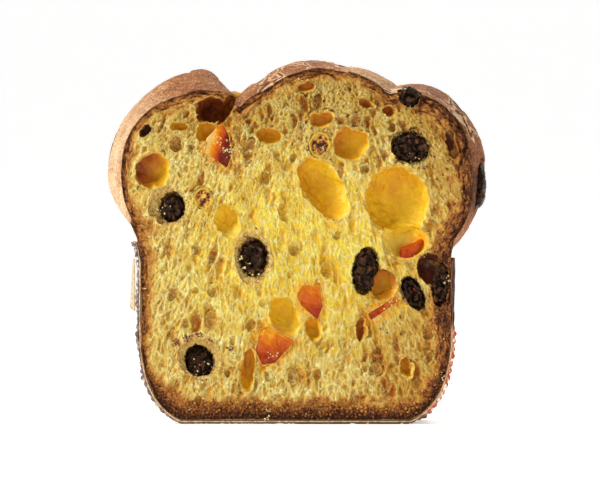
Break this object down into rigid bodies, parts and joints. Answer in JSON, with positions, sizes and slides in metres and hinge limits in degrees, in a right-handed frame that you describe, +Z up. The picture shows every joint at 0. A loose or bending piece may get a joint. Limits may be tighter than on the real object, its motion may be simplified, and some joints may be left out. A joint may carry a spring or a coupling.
{
  "type": "fruit loaf slice",
  "caption": "Thick upright slice of a tall domed sweet bread with raisins, candied peel and large air holes, browned crust all round, in its strip of corrugated paper case.",
  "frame": {"origin": "on the surface the slice stands on, below the middle of its box in X and Y", "axes": "+Z up; +X to the right across the cut face; the front cut face looks along -Y"},
  "size_m": [0.1323, 0.026, 0.1259],
  "materials": {
    "crumb": "open yellow crumb, browned to the outside",
    "paper": "matt corrugated baking paper with a cream liner",
    "raisin": "wrinkled, half glossy",
    "peel": "glossy and translucent"
  },
  "bodies": {
    "root": {"loaf": "crumb", "paper_case": "paper", "raisin_1": "raisin", "raisin_2": "raisin", "raisin_3": "raisin", "raisin_4": "raisin", "raisin_5": "raisin", "raisin_6": "raisin", "raisin_7": "raisin", "raisin_8": "raisin", "raisin_9": "raisin", "raisin_10": "raisin", "raisin_11": "raisin", "raisin_12": "raisin", "raisin_13": "raisin", "raisin_14": "raisin", "raisin_15": "raisin", "raisin_16": "raisin", "peel_1": "peel", "peel_2": "peel", "peel_3": "peel", "peel_4": "peel", "peel_5": "peel", "peel_6": "peel", "peel_7": "peel", "peel_8": "peel", "peel_9": "peel"}
  },
  "joints": []
}
